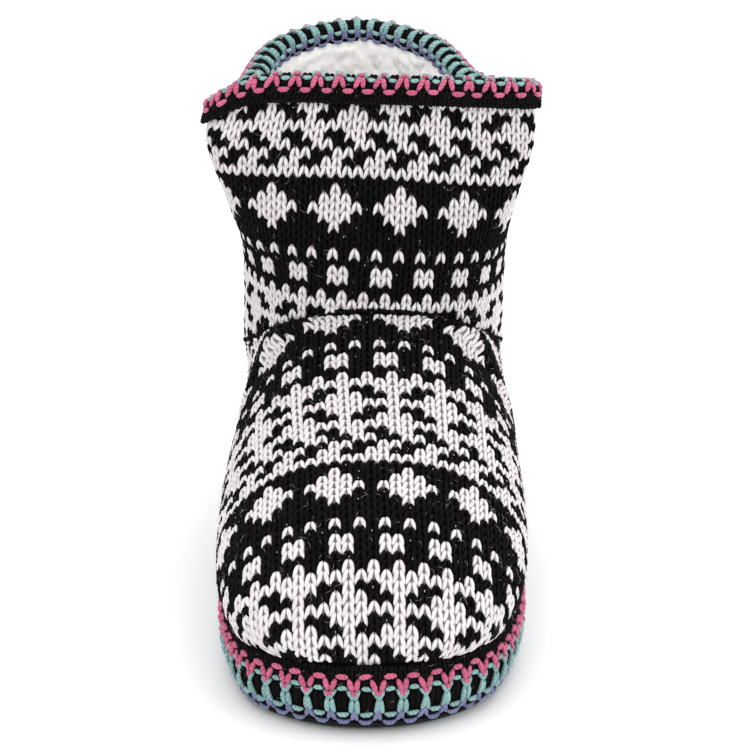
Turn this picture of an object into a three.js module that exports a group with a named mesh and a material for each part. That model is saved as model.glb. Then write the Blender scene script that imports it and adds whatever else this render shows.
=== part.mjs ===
import * as THREE from "three";

// A knitted slipper boot for the left foot, standing empty on its sole.
// The toe points to -Y, +Z is up, and the inner side of the foot is at -X.
// The origin is on the floor, under the middle of the boot. Millimetres.

// Driving dimensions
const bootLength = 258;
const outsoleThickness = 4;
const insoleThickness = 9;
const upperWall = 3;
const fit = 0.3;
const toeSpring = 1.6;
const toeSpringStart = -92;
const archRise = 2.5;
const sideShift = 1.55; // brings the middle of the whole boot over the origin
const archFront = -28;
const archBack = 56;

// Band of knitted tape round the side of the sole
const bandBottom = 0.8;
const bandTop = 19.5;
const bandWall = 2.2;
const cordReach = 1.6;
const cordRadius = 0.65;
const cordFlatness = 0.8;
const cordClearance = 0.5;
const soleLoopPitch = 8;
const soleCords = [
  { color: "pink", low: 15.5, high: 18.5 },
  { color: "teal", low: 7, high: 13.5 },
  { color: "lilac", low: 2, high: 5 },
];

// The same tape folded over the collar
const bindingWall = 1.5;
const bindingFit = 0.5;
const bindingDepth = 10;
const collarCordClearance = 0.8;

// Drop of the collar's yarns below the top of the tape, and how far short of the
// tape's lower edge they turn
const outsideCord = { drop: 1.2, short: 0.3 };
const insideCord = { drop: 2.5, short: 0.2 };
const topCordOverhang = 1;

// Height of the line where the knit leaves the sole, and how far it swells above it
const featherHeight = 20;
const swells = {
  toe: { amount: 5, peak: 12 },
  waist: { amount: 6.5, peak: 22 },
  heel: { amount: 4.2, peak: 17 },
};

// Roundness of a row over the foot: 2 is an ellipse, more is boxier
const fullness = { toe: 2.35, waist: 2.6 };

// The rows lean back on both sides of the toe: how far they lead along the sole, and
// the way up the instep in which they take up that lead
const rowLead = 23;
const rowLeadWay = 20;

// The centre line bends to the inner side in front of this place
const toeBendStart = -62;

// Steps of the surface stand closer at the toe
const toeCrowding = 1.3;

// Share of the way from the ankle's front to its side in which the rows straighten
const straighten = 0.42;

// Number of steps of the surface
const vampSteps = 22;
const shaftSteps = 60;
const sectionSteps = 6;
const plateSteps = 3;

// Outline of the whole sole, seen from above
const soleOutline = [
  { place: "toe tip", x: -2.5, y: -129 },
  { place: "outer toe", x: 15, y: -125.4 },
  { place: "outer toe corner", x: 33.4, y: -111.5 },
  { place: "outer toe side", x: 43.2, y: -89 },
  { place: "outer ball", x: 47.8, y: -52 },
  { place: "outer ball back", x: 46, y: -18 },
  { place: "outer waist", x: 43.5, y: 28 },
  { place: "outer heel side", x: 39.5, y: 78 },
  { place: "outer heel corner", x: 33, y: 108 },
  { place: "outer heel", x: 18.5, y: 124 },
  { place: "heel", x: 0.5, y: 129 },
  { place: "inner heel", x: -17.5, y: 124.3 },
  { place: "inner heel corner", x: -32, y: 109 },
  { place: "inner heel side", x: -37, y: 80 },
  { place: "inner waist", x: -41.5, y: 28 },
  { place: "inner ball back", x: -46.8, y: -18 },
  { place: "inner ball", x: -49.4, y: -52 },
  { place: "inner toe side", x: -46.2, y: -89 },
  { place: "inner toe corner", x: -38.2, y: -111.5 },
  { place: "inner toe", x: -20, y: -125.4 },
];

// Centre line of the foot piece, from the sole at the toe up to the ankle seam
const instepLine = [
  { place: "toe edge", y: -125.3, z: 20 },
  { place: "toe wall", y: -122.6, z: 31 },
  { place: "toe corner", y: -118.4, z: 41.5 },
  { place: "toe top", y: -111.5, z: 51 },
  { place: "toe back", y: -99.5, z: 59.5 },
  { place: "ball", y: -84, z: 65.6 },
  { place: "behind ball", y: -61, z: 73.3 },
  { place: "low instep", y: -38.5, z: 81.4 },
  { place: "instep", y: -22, z: 86.8 },
  { place: "ankle seam", y: -6, z: 90.5 },
];

// Half outlines of the shaft, front to back, each about its own middle line. The collar
// also has the height of its edge on the outer side (zOuter) and the inner side (zInner)
const shaftRings = [
  {
    place: "below the ankle",
    z: 60,
    middle: -1,
    points: [
      { x: 0, y: -5.5 },
      { x: 17.5, y: -1 },
      { x: 33, y: 14 },
      { x: 43, y: 50 },
      { x: 31.5, y: 97 },
      { x: 0, y: 115.5 },
    ],
  },
  {
    place: "ankle",
    z: 98,
    middle: -1.5,
    points: [
      { x: 0, y: -5.5 },
      { x: 18.5, y: -1.5 },
      { x: 34.5, y: 13 },
      { x: 43, y: 48 },
      { x: 30.5, y: 90 },
      { x: 0, y: 106 },
    ],
  },
  {
    place: "lower shaft",
    z: 124,
    middle: -2,
    points: [
      { x: 0, y: -6 },
      { x: 26, y: -3 },
      { x: 43.8, y: 9 },
      { x: 44.5, y: 42 },
      { x: 29.5, y: 85 },
      { x: 0, y: 100.5 },
    ],
  },
  {
    place: "under the collar",
    z: 146,
    middle: -1.5,
    points: [
      { x: 0, y: -8 },
      { x: 34, y: -6 },
      { x: 51.5, y: 2 },
      { x: 42, y: 36 },
      { x: 27.5, y: 78 },
      { x: 0, y: 95.5 },
    ],
  },
  {
    place: "collar",
    middle: -0.7,
    points: [
      { x: 0, y: -8.5, zOuter: 164.5, zInner: 164.5 },
      { x: 37, y: -7, zOuter: 163.5, zInner: 163.5 },
      { x: 50.5, y: 2, zOuter: 159.5, zInner: 155.5 },
      { x: 38.5, y: 36, zOuter: 156.5, zInner: 156 },
      { x: 26.5, y: 72, zOuter: 162, zInner: 161.5 },
      { x: 0, y: 91, zOuter: 164, zInner: 164 },
    ],
  },
];

// The back of the collar leans to the inner side
const collarLean = 6.5;
const collarLeanDepth = 60;
const collarLeanStart = 100;
const collarLeanEnd = 160;

// Ankle seam: height at the sides and back, and its rise over the instep
const seamLow = 60.5;
const seamRise = 30;
const seamFallEnd = 0.67;
const seamFallPower = 2.5;

// Rings of the shaft between the seam (0) and the collar (1)
const shaftLevels = [0.04, 0.2, 0.38, 0.56, 0.74];
const seamStep = 0.9;

const colors = {
  knit: 0xb9b4b4,
  black: 0x17161a,
  pink: 0xd9648c,
  teal: 0x8fc7c4,
  lilac: 0x8b8fc0,
  fleece: 0xefe9e4,
  sole: 0x3a3838,
};

function clamp01(value) {
  return Math.min(1, Math.max(0, value));
}

function smooth(value) {
  const t = clamp01(value);
  return t * t * (3 - 2 * t);
}

// Collects triangles, joins equal corners and drops triangles without area
class Skin {
  constructor() {
    this.points = [];
    this.faces = [];
    this.known = new Map();
  }

  corner(point) {
    const key = point.toArray().map((value) => Math.round(value * 1000)).join(" ");
    if (!this.known.has(key)) {
      this.known.set(key, this.points.length);
      this.points.push(point.clone());
    }
    return this.known.get(key);
  }

  triangle(a, b, c) {
    const face = [this.corner(a), this.corner(b), this.corner(c)];
    if (new Set(face).size === 3) {
      this.faces.push(face);
    }
  }

  // Quad split along its shorter diagonal
  quad(a, b, c, d) {
    if (a.distanceTo(c) <= b.distanceTo(d)) {
      this.triangle(a, b, c);
      this.triangle(a, c, d);
    } else {
      this.triangle(a, b, d);
      this.triangle(b, c, d);
    }
  }

  // Strip between two rows of points, closed round when wrap is true
  strip(rowA, rowB, wrap) {
    const last = wrap ? rowA.length : rowA.length - 1;
    for (let i = 0; i < last; i += 1) {
      const next = (i + 1) % rowA.length;
      this.quad(rowA[i], rowA[next], rowB[next], rowB[i]);
    }
  }

  geometry() {
    const geometry = new THREE.BufferGeometry();
    const positions = this.points.flatMap((point) => point.toArray());
    geometry.setAttribute("position", new THREE.Float32BufferAttribute(positions, 3));
    geometry.setIndex(this.faces.flat());
    geometry.computeVertexNormals();
    return geometry;
  }

  // Turns the faces outwards if the enclosed volume comes out negative
  faceOutwards() {
    let volume = 0;
    for (const [a, b, c] of this.faces) {
      const cross = new THREE.Vector3().crossVectors(this.points[b], this.points[c]);
      volume += this.points[a].dot(cross);
    }
    if (volume < 0) {
      this.faces = this.faces.map(([a, b, c]) => [a, c, b]);
    }
    return this;
  }
}

const outlineCurve = new THREE.CatmullRomCurve3(
  soleOutline.map(({ x, y }) => new THREE.Vector3(x, y, 0)),
  true,
  "centripetal",
);
outlineCurve.arcLengthDivisions = 2000;

// Share of the outline's length at the middle of the heel
const heelShare = (() => {
  let best = 0.5;
  for (let share = 0.4; share < 0.6; share += 0.0005) {
    if (outlineCurve.getPointAt(share).y > outlineCurve.getPointAt(best).y) {
      best = share;
    }
  }
  return best;
})();

// Height of the sole's underside over the floor: toe spring and arch
function soleLift(x, y) {
  const spring = clamp01((toeSpringStart - y) / (toeSpringStart + bootLength / 2));
  const alongArch = clamp01((y - archFront) / (archBack - archFront));
  const innerSide = 0.3 + 0.7 * smooth((25 - x) / 60);
  return toeSpring * spring ** 2 + archRise * Math.sin(Math.PI * alongArch) ** 2 * innerSide;
}

// Point on the sole's outline, moved inwards by inset, at a height over the underside
function outlinePoint(share, inset, height) {
  const wrapped = ((share % 1) + 1) % 1;
  const point = outlineCurve.getPointAt(wrapped);
  const tangent = outlineCurve.getTangentAt(wrapped);
  point.x -= tangent.y * inset;
  point.y += tangent.x * inset;
  point.z = height + soleLift(point.x, point.y);
  return point;
}

function outlineNormal(share) {
  const tangent = outlineCurve.getTangentAt(((share % 1) + 1) % 1);
  return new THREE.Vector3(tangent.y, -tangent.x, 0);
}

const bandInset = cordReach;
const footInset = bandInset + bandWall + fit;

// Level outline of one shaft ring as a closed curve from the front over the outer side
function ringCurve(ring) {
  const { points, middle, z } = ring;
  const outer = points.map(({ x, y, zOuter }) => new THREE.Vector3(middle + x, y, zOuter ?? z));
  const inner = points
    .slice(1, -1)
    .reverse()
    .map(({ x, y, zInner }) => new THREE.Vector3(middle - x, y, zInner ?? z));
  return new THREE.CatmullRomCurve3([...outer, ...inner], true, "centripetal");
}

const ringCurves = shaftRings.map(ringCurve);

// Cubic through the ring points at one share of the way round, by height
function shaftPoint(share, height) {
  const knots = ringCurves.map((curve) => curve.getPointAt(share));
  let k = 0;
  while (k < knots.length - 2 && height > knots[k + 1].z) {
    k += 1;
  }
  const slope = (i) => {
    const low = knots[Math.max(0, i - 1)];
    const high = knots[Math.min(knots.length - 1, i + 1)];
    return high.clone().sub(low).divideScalar(high.z - low.z);
  };
  const span = knots[k + 1].z - knots[k].z;
  const t = (height - knots[k].z) / span;
  const point = knots[k].clone().multiplyScalar(2 * t ** 3 - 3 * t ** 2 + 1);
  point.addScaledVector(slope(k), span * (t ** 3 - 2 * t ** 2 + t));
  point.addScaledVector(knots[k + 1], -2 * t ** 3 + 3 * t ** 2);
  point.addScaledVector(slope(k + 1), span * (t ** 3 - t ** 2));
  const leanHeight = smooth((height - collarLeanStart) / (collarLeanEnd - collarLeanStart));
  point.x -= collarLean * smooth(point.y / collarLeanDepth) * leanHeight;
  point.z = height;
  return point;
}

function collarHeight(share) {
  return ringCurves[ringCurves.length - 1].getPointAt(share).z;
}

// Turn from the front of the ankle (0) to its back (1), the same on both sides
function seamHeight(share) {
  const turn = 1 - Math.abs(1 - 2 * share);
  const fall = Math.cos((Math.min(1, turn / seamFallEnd) * Math.PI) / 2);
  return seamLow + seamRise * Math.max(0, fall) ** seamFallPower;
}

const instepCurve = new THREE.CatmullRomCurve3(
  instepLine.map(({ y, z }) => new THREE.Vector3(0, y, z)),
  false,
  "centripetal",
);
const instepLength = instepCurve.getLength();
const sideSteps = vampSteps + shaftSteps / 2;
const aroundSteps = 2 * sideSteps;

// How far a row of the foot piece has come along the sole when its top has come
// this far up the instep: the rows lean back on both sides of the toe
function edgeTravel(topTravel) {
  return topTravel + rowLead * (1 - Math.exp(-topTravel / rowLeadWay));
}

// Top, edge and place of the row of knitting at one step round the foot
function footRow(step) {
  const outerSide = step <= sideSteps;
  const side = outerSide ? step : aroundSteps - step;
  const sideLength = outlineCurve.getLength() * (outerSide ? heelShare : 1 - heelShare);
  const onVamp = side <= vampSteps;
  const vampEdge = edgeTravel(instepLength);
  let top;
  let travel;
  let turn = 0;
  if (onVamp) {
    const share = (side / vampSteps) ** toeCrowding;
    top = instepCurve.getPointAt(share);
    top.x = soleOutline[0].x * smooth((toeBendStart - top.y) / (toeBendStart + bootLength / 2));
    travel = edgeTravel(share * instepLength);
  } else {
    turn = (side - vampSteps) / (shaftSteps / 2);
    const share = outerSide ? turn / 2 : 1 - turn / 2;
    top = shaftPoint(share % 1, seamHeight(share));
    travel = vampEdge + (sideLength - vampEdge) * turn;
  }
  const edgeShare = (outerSide ? travel : -travel) / outlineCurve.getLength();
  const toeward = smooth(1.4 * (1 - side / vampSteps));
  const end = onVamp ? swells.toe : swells.heel;
  const towards = onVamp ? toeward : turn;
  const swell = {
    amount: THREE.MathUtils.lerp(swells.waist.amount, end.amount, towards),
    peak: THREE.MathUtils.lerp(swells.waist.peak, end.peak, towards),
  };
  const roundness = THREE.MathUtils.lerp(fullness.waist, fullness.toe, toeward);
  return { top, edgeShare, turn, swell, roundness };
}

// Point of the foot piece on one row, from its edge at the sole (0) to its top (1)
function footPoint(row, rise) {
  const edge = outlinePoint(row.edgeShare, footInset, featherHeight);
  const angle = (Math.PI / 2) * rise;
  const power = 2 / row.roundness;
  const straight = smooth(row.turn / straighten);
  const roundOut = Math.cos(angle) ** power;
  const roundUp = Math.sin(angle) ** power;
  const out = THREE.MathUtils.lerp(roundOut, 1 - rise, straight);
  const up = THREE.MathUtils.lerp(roundUp, rise, straight);
  const back = THREE.MathUtils.lerp(roundOut ** 2, 1 - rise, straight);
  const point = new THREE.Vector3(
    THREE.MathUtils.lerp(row.top.x, edge.x, out),
    THREE.MathUtils.lerp(row.top.y, edge.y, back),
    THREE.MathUtils.lerp(edge.z, row.top.z, up),
  );
  const height = (point.z - edge.z) / row.swell.peak;
  const amount = row.swell.amount * height * Math.exp(1 - height) * Math.min(1, 1.4 * (1 - rise));
  return point.addScaledVector(outlineNormal(row.edgeShare), amount);
}

function footRows() {
  return Array.from({ length: aroundSteps }, (_, step) => footRow(step));
}

// Share of the way round the shaft for each of its steps, front, outer side, back
const shaftShares = Array.from({ length: shaftSteps }, (_, i) => i / shaftSteps);

// Ring of the shaft at a level between the seam (0) and the collar's fold (1)
function shaftRing(level) {
  return shaftShares.map((share) => {
    const low = seamHeight(share);
    const high = collarHeight(share) - bindingDepth;
    return shaftPoint(share, THREE.MathUtils.lerp(low, high, level));
  });
}

function collarRim() {
  return shaftShares.map((share) => shaftPoint(share, collarHeight(share)));
}

// Moves a ring of the shaft outwards, for the raised edge over the ankle seam
function widened(ring, amount) {
  return ring.map((point, i) => {
    const next = ring[(i + 1) % ring.length];
    const last = ring[(i + ring.length - 1) % ring.length];
    const along = next.clone().sub(last).setZ(0).normalize();
    return point.clone().add(new THREE.Vector3(along.y, -along.x, 0).multiplyScalar(amount));
  });
}

// Outside of the upper: hidden skirt in the band, foot piece, shaft
function upperOutside() {
  const skin = new Skin();
  const rows = footRows();
  const skirt = rows.map(({ edgeShare }) => outlinePoint(edgeShare, footInset, outsoleThickness + fit));
  const rings = [skirt];
  for (let j = 0; j <= sectionSteps; j += 1) {
    rings.push(rows.map((row) => footPoint(row, j / sectionSteps)));
  }
  rings.slice(1).forEach((ring, j) => skin.strip(rings[j], ring, true));
  const seam = shaftRing(0);
  const shaft = [
    seam,
    widened(shaftRing(shaftLevels[0]), seamStep),
    ...shaftLevels.slice(1).map(shaftRing),
    shaftRing(1),
    collarRim(),
  ];
  shaft.slice(1).forEach((ring, j) => skin.strip(shaft[j], ring, true));
  return skin;
}

// Gives an open skin its wall: an inner skin, and a rim along each open edge
function thickened(skin, wall) {
  const normals = skin.geometry().getAttribute("normal");
  const inner = skin.points.map((point, i) => {
    const normal = new THREE.Vector3().fromBufferAttribute(normals, i);
    return point.clone().addScaledVector(normal, -wall);
  });
  const solid = new Skin();
  const edges = new Set(skin.faces.flatMap(([a, b, c]) => [`${a} ${b}`, `${b} ${c}`, `${c} ${a}`]));
  for (const [a, b, c] of skin.faces) {
    solid.triangle(skin.points[a], skin.points[b], skin.points[c]);
    solid.triangle(inner[a], inner[c], inner[b]);
    for (const [from, to] of [[a, b], [b, c], [c, a]]) {
      if (!edges.has(`${to} ${from}`)) {
        solid.quad(skin.points[to], skin.points[from], inner[from], inner[to]);
      }
    }
  }
  return solid.faceOutwards();
}

const outside = upperOutside();
const outsideNormals = outside.geometry().getAttribute("normal");

// Places off the upper's wall at a ring of its points: out from the wall's outside, up
function offWall(ring, out, up) {
  return ring.map((point) => {
    const normal = new THREE.Vector3().fromBufferAttribute(outsideNormals, outside.corner(point));
    const moved = point.clone().addScaledVector(normal, out);
    moved.z += up;
    return moved;
  });
}

function makeUpper() {
  return thickened(outside, upperWall).geometry();
}

// Ring with a closed section, from a list of equally long rows of points
function ringSolid(rows) {
  const skin = new Skin();
  rows.forEach((row, j) => skin.strip(row, rows[(j + 1) % rows.length], true));
  return skin.faceOutwards().geometry();
}

function makeCollarBinding() {
  const rim = collarRim();
  const fold = shaftRing(1);
  const far = bindingFit + bindingWall;
  return ringSolid([
    offWall(fold, bindingFit, 0),
    offWall(rim, bindingFit, bindingFit),
    offWall(rim, -upperWall - bindingFit, bindingFit),
    offWall(fold, -upperWall - bindingFit, 0),
    offWall(fold, -upperWall - far, 0),
    offWall(rim, -upperWall - far, far),
    offWall(rim, far, far),
    offWall(fold, far, 0),
  ]);
}

// Cord with a three-sided section along a closed path; out points away from the wall
function cordRing(path, out) {
  const count = path.length;
  const corners = [0, 1, 2].map((corner) => {
    const turn = (corner * 2 * Math.PI) / 3;
    return path.map((point, i) => {
      const along = path[(i + 1) % count].clone().sub(path[(i + count - 1) % count]).normalize();
      const across = new THREE.Vector3().crossVectors(out[i], along).normalize();
      return point
        .clone()
        .addScaledVector(across, cordRadius * Math.sin(turn))
        .addScaledVector(out[i], -cordRadius * cordFlatness * Math.cos(turn));
    });
  });
  return ringSolid(corners);
}

// Zigzag between two rows of places, so that every second point is on the other row
function zigzag(high, low) {
  return high.map((point, i) => (i % 2 ? low[i] : point));
}

// Zigzag cord on one face of the collar's tape; side is 1 outside and -1 inside
function faceCord(side, { drop, short }) {
  const rim = collarRim();
  const far = bindingFit + bindingWall;
  const reach = far + collarCordClearance + cordRadius;
  const out = side > 0 ? reach : -upperWall - reach;
  const high = offWall(rim, out, far - drop);
  const low = offWall(shaftRing(1), out, 0).map((point, i) => point.lerp(high[i], short));
  const facing = offWall(rim, side, 0).map((point, i) => point.sub(rim[i]));
  return cordRing(zigzag(high, low), facing);
}

// Zigzag cord over the top edge of the collar's tape
function topCord() {
  const rim = collarRim();
  const far = bindingFit + bindingWall;
  const up = far + collarCordClearance + cordRadius;
  const outer = offWall(rim, far - topCordOverhang, up);
  const inner = offWall(rim, topCordOverhang - upperWall - far, up);
  return cordRing(zigzag(outer, inner), rim.map(() => new THREE.Vector3(0, 0, 1)));
}

const rowShares = footRows().map(({ edgeShare }) => edgeShare);

function makeSoleBand() {
  const row = (inset, height) => rowShares.map((share) => outlinePoint(share, inset, height));
  const inner = bandInset + bandWall;
  return ringSolid([
    row(inner, bandBottom),
    row(bandInset, bandBottom),
    row(bandInset, bandTop),
    row(inner, bandTop),
  ]);
}

// Cord that runs up and down on the band between two heights
function makeSoleCord(low, high) {
  const loops = Math.round(outlineCurve.getLength() / soleLoopPitch);
  const shares = Array.from({ length: 2 * loops }, (_, i) => i / (2 * loops));
  const inset = bandInset - cordClearance - cordRadius;
  const path = shares.map((share, i) => outlinePoint(share, inset, i % 2 ? high : low));
  return cordRing(path, shares.map(outlineNormal));
}

// Plate under or in the foot, as rungs between the outer and the inner side
function plate(inset, bottom, top) {
  const rung = (step, height) => {
    const outer = outlinePoint(rowShares[step], inset, 0);
    const inner = outlinePoint(rowShares[(aroundSteps - step) % aroundSteps], inset, 0);
    return Array.from({ length: plateSteps + 1 }, (_, j) => {
      const point = outer.clone().lerp(inner, j / plateSteps);
      point.z = height + soleLift(point.x, point.y);
      return point;
    });
  };
  const skin = new Skin();
  for (let step = 0; step < sideSteps; step += 1) {
    skin.strip(rung(step + 1, top), rung(step, top), false);
    skin.strip(rung(step, bottom), rung(step + 1, bottom), false);
  }
  const edge = (height) => rowShares.map((share) => outlinePoint(share, inset, height));
  skin.strip(edge(bottom), edge(top), true);
  return skin.faceOutwards().geometry();
}

function makeOutsole() {
  return plate(footInset, 0, outsoleThickness);
}

function makeInsole() {
  const bottom = outsoleThickness + fit;
  return plate(footInset + upperWall + fit, bottom, bottom + insoleThickness);
}

function named(name, geometry, color, roughness) {
  const material = new THREE.MeshStandardMaterial({ color, roughness, metalness: 0 });
  const mesh = new THREE.Mesh(geometry, material);
  mesh.name = name;
  return mesh;
}

const group = new THREE.Group();
group.position.x = sideShift;
group.add(
  named("outsole", makeOutsole(), colors.sole, 0.9),
  named("insole", makeInsole(), colors.fleece, 1),
  named("upper", makeUpper(), colors.knit, 0.95),
  named("sole_band", makeSoleBand(), colors.black, 0.95),
  ...soleCords.map(({ color, low, high }) =>
    named(`sole_cord_${color}`, makeSoleCord(low, high), colors[color], 0.85),
  ),
  named("collar_binding", makeCollarBinding(), colors.black, 0.95),
  named("collar_cord_pink", faceCord(1, outsideCord), colors.pink, 0.85),
  named("collar_cord_teal", topCord(), colors.teal, 0.85),
  named("collar_cord_lilac", faceCord(-1, insideCord), colors.lilac, 0.85),
);

export default group;
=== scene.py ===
import math

import bpy
import numpy as np
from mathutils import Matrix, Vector


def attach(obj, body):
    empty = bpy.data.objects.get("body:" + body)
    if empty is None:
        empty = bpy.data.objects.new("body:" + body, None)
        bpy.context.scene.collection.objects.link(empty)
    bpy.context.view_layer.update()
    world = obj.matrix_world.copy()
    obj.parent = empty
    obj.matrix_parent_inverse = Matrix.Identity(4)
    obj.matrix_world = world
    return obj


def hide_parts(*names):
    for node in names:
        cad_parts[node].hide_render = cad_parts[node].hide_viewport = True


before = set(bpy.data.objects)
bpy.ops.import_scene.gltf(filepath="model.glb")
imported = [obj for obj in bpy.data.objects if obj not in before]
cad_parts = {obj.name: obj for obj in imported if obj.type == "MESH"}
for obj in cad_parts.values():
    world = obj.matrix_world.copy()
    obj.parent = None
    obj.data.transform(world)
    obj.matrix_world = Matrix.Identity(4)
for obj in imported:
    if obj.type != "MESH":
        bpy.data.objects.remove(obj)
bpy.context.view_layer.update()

# Lengths are in millimetres, as on the pattern, and meshes are made in metres.
# The toe points to -Y, and the inner side of the left foot is at -X.
mm = 0.001
seed = 7

boot = {
    "length": 258,
    "sideShift": 1.55,
    "toeSpring": 1.6,
    "toeSpringStart": -92,
    "archRise": 2.5,
    "archFront": -28,
    "archBack": 56,
    "archOuter": 0.3,  # share of the arch on the outer side
    "archSide": 25,
    "archSideWay": 60,
    "outsole": 4,
    "insole": 9,
    "wall": 3,
    "footInset": 4.1,
    "feather": 20,  # height where the knit leaves the sole
    "toeBendStart": -62,
    "rowLead": 18.5,  # how far the rows lean back on both sides of the toe
    "rowLeadWay": 20,
    "leadFall": 0.45,  # the lean gets less towards the ankle
    "leadFallStart": 40,
    "leadFallWay": 95,
    "heelRows": 46,
    "seamCrowd": 0.52,  # the first rows behind the ankle reach the seam well out to the side
    "straighten": 0.42,
    "swellFade": 1.4,
    "fullStart": 1.4,
    "fullPower": 1.3,
    "collarLean": 4.9,  # the back of the collar leans to one side
    "leanDepth": 60,
    "leanLow": 100,
    "leanWay": 60,
    "seamLow": 60.5,
    "seamRise": 30,
    "seamFallEnd": 0.67,
    "seamFallPower": 2.5,
}
swells = [  # row, amount, height of the peak
    (-46, 4.2, 17), (0, 6.5, 22), (8, 5.6, 22), (17, 4.3, 20), (25, 4.6, 17), (34, 5.8, 13), (42, 6.2, 12),
]
fullness = {"toe": 2.35, "waist": 2.6}

soleOutline = [
    (-2.5, -129), (15, -125.4), (33.4, -111.5), (43.2, -89), (47.8, -52), (46, -18), (43.5, 28),
    (39.5, 78), (33, 108), (18.5, 124), (0.5, 129), (-17.5, 124.3), (-32, 109), (-37, 80),
    (-41.5, 28), (-46.8, -18), (-49.4, -52), (-46.2, -89), (-38.2, -111.5), (-20, -125.4),
]
instepLine = [  # y and z from the toe's edge to the ankle seam
    (-125.3, 20), (-122.6, 31), (-118.4, 41.5), (-111.5, 51), (-99.5, 59.5),
    (-84, 65.6), (-61, 73.3), (-38.5, 81.4), (-22, 86.8), (-6, 90.5),
]
rowPlaces = [(0, 0), (22, 73.7), (31, 101.6), (36, 115.6), (46.5, 147.8)]  # row, way from the ankle seam
shaftRings = [  # height, middle line, half outline from front to back
    (60, -0.8, [(0, -5.5), (17.5, -1), (33.5, 14), (44.4, 50), (32, 97), (0, 115.5)]),
    (98, -0.2, [(0, -5.5), (18.5, -1.5), (35, 13), (44.3, 48), (31, 90), (0, 106)]),
    (124, -0.8, [(0, -6), (26, -3), (44.8, 9), (45.7, 42), (30, 85), (0, 100.5)]),
    (146, -1.5, [(0, -8), (34, -6), (51.5, 2), (42, 36), (27.5, 78), (0, 95.5)]),
]
collarRing = {  # x, y, height on the outer side, height on the inner side
    "middle": -0.7,
    "points": [
        (0, -8.5, 167.1, 167.1), (37, -7, 165.6, 166.6), (50.5, 2, 163.6, 158.2),
        (38.5, 36, 158.3, 157.8), (26.5, 72, 163.9, 164.3), (0, 91, 166.6, 166.6),
    ],
}


# Curves and surfaces of the last

def smooth(value):
    t = np.clip(value, 0, 1)
    return t * t * (3 - 2 * t)


def lerp(a, b, t):
    return a + (b - a) * t


def unit(vectors):
    return vectors / np.maximum(np.linalg.norm(vectors, axis=-1, keepdims=True), 1e-12)


def readLine(places, travel, points):
    return np.stack([np.interp(places, travel, axis) for axis in points.T], axis=-1)


# Way travelled from the first point to each of the others
def wayAlong(points, axis=0):
    steps = np.linalg.norm(np.diff(points, axis=axis), axis=-1)
    return np.insert(np.cumsum(steps, axis=axis), 0, 0, axis=axis)


def fromTable(table, value):
    return np.interp(value, *zip(*table))


def outward(along):
    return np.stack([along[..., 1], -along[..., 0], np.zeros_like(along[..., 0])], axis=-1)


def evenOut(vectors, axis, passes):
    for _ in range(passes):
        vectors = unit(vectors + np.roll(vectors, 1, axis=axis) + np.roll(vectors, -1, axis=axis))
    return vectors


# Centripetal spline through the points, read by share of its length
class Path:
    def __init__(self, points, closed=False, steps=48):
        points = np.asarray(points, float)
        if closed:
            knots = [np.roll(points, shift, axis=0) for shift in (1, 0, -1, -2)]
        else:
            ends = np.vstack([2 * points[0] - points[1], points, 2 * points[-1] - points[-2]])
            knots = [ends[i:i + len(points) - 1] for i in range(4)]
        p0, p1, p2, p3 = knots
        gaps = [np.linalg.norm(b - a, axis=1, keepdims=True) ** 0.5
                for a, b in ((p0, p1), (p1, p2), (p2, p3))]
        g0, g1, g2 = gaps
        leave = ((p1 - p0) / g0 - (p2 - p0) / (g0 + g1) + (p2 - p1) / g1) * g1
        arrive = ((p2 - p1) / g1 - (p3 - p1) / (g1 + g2) + (p3 - p2) / g2) * g1
        t = (np.arange(steps) / steps)[None, :, None]
        a, b, c, d = (v[:, None, :] for v in (p1, p2, leave, arrive))
        spans = (a + c * t + (3 * (b - a) - 2 * c - d) * t ** 2 + (2 * (a - b) + c + d) * t ** 3)
        last = points[0] if closed else points[-1]
        self.points = np.vstack([spans.reshape(-1, points.shape[1]), last])
        self.travel = wayAlong(self.points)
        self.length = self.travel[-1]
        self.closed = closed

    def at(self, share):
        share = np.mod(share, 1) if self.closed else np.clip(share, 0, 1)
        return readLine(share * self.length, self.travel, self.points)

    def along(self, share, reach=0.0008):
        return unit(self.at(share + reach) - self.at(share - reach))


outline = Path(soleOutline, closed=True)
heelShare = outline.travel[np.argmax(outline.points[:, 1])] / outline.length


def soleLift(x, y):
    spring = np.clip((boot["toeSpringStart"] - y) / (boot["toeSpringStart"] + boot["length"] / 2), 0, 1)
    arch = np.clip((y - boot["archFront"]) / (boot["archBack"] - boot["archFront"]), 0, 1)
    side = smooth((boot["archSide"] - x) / boot["archSideWay"])
    inner = boot["archOuter"] + (1 - boot["archOuter"]) * side
    return boot["toeSpring"] * spring ** 2 + boot["archRise"] * np.sin(np.pi * arch) ** 2 * inner


def outlinePoint(share, inset, height):
    flat = outline.at(share)
    along = outline.along(share)
    x = flat[..., 0] - along[..., 1] * inset
    y = flat[..., 1] + along[..., 0] * inset
    return np.stack([x, y, height + soleLift(x, y)], axis=-1)


def outlineNormal(share):
    return outward(outline.along(share))


def ringPath(middle, outer, inner):
    right = [(middle + x, y, z) for x, y, z in outer]
    left = [(middle - x, y, z) for x, y, z in inner[1:-1]]
    return Path(right + left[::-1], closed=True)


ringPaths = [ringPath(middle, *[[(x, y, z) for x, y in half]] * 2) for z, middle, half in shaftRings]
ringPaths.append(ringPath(
    collarRing["middle"],
    [(x, y, outer) for x, y, outer, inner in collarRing["points"]],
    [(x, y, inner) for x, y, outer, inner in collarRing["points"]],
))


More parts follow.
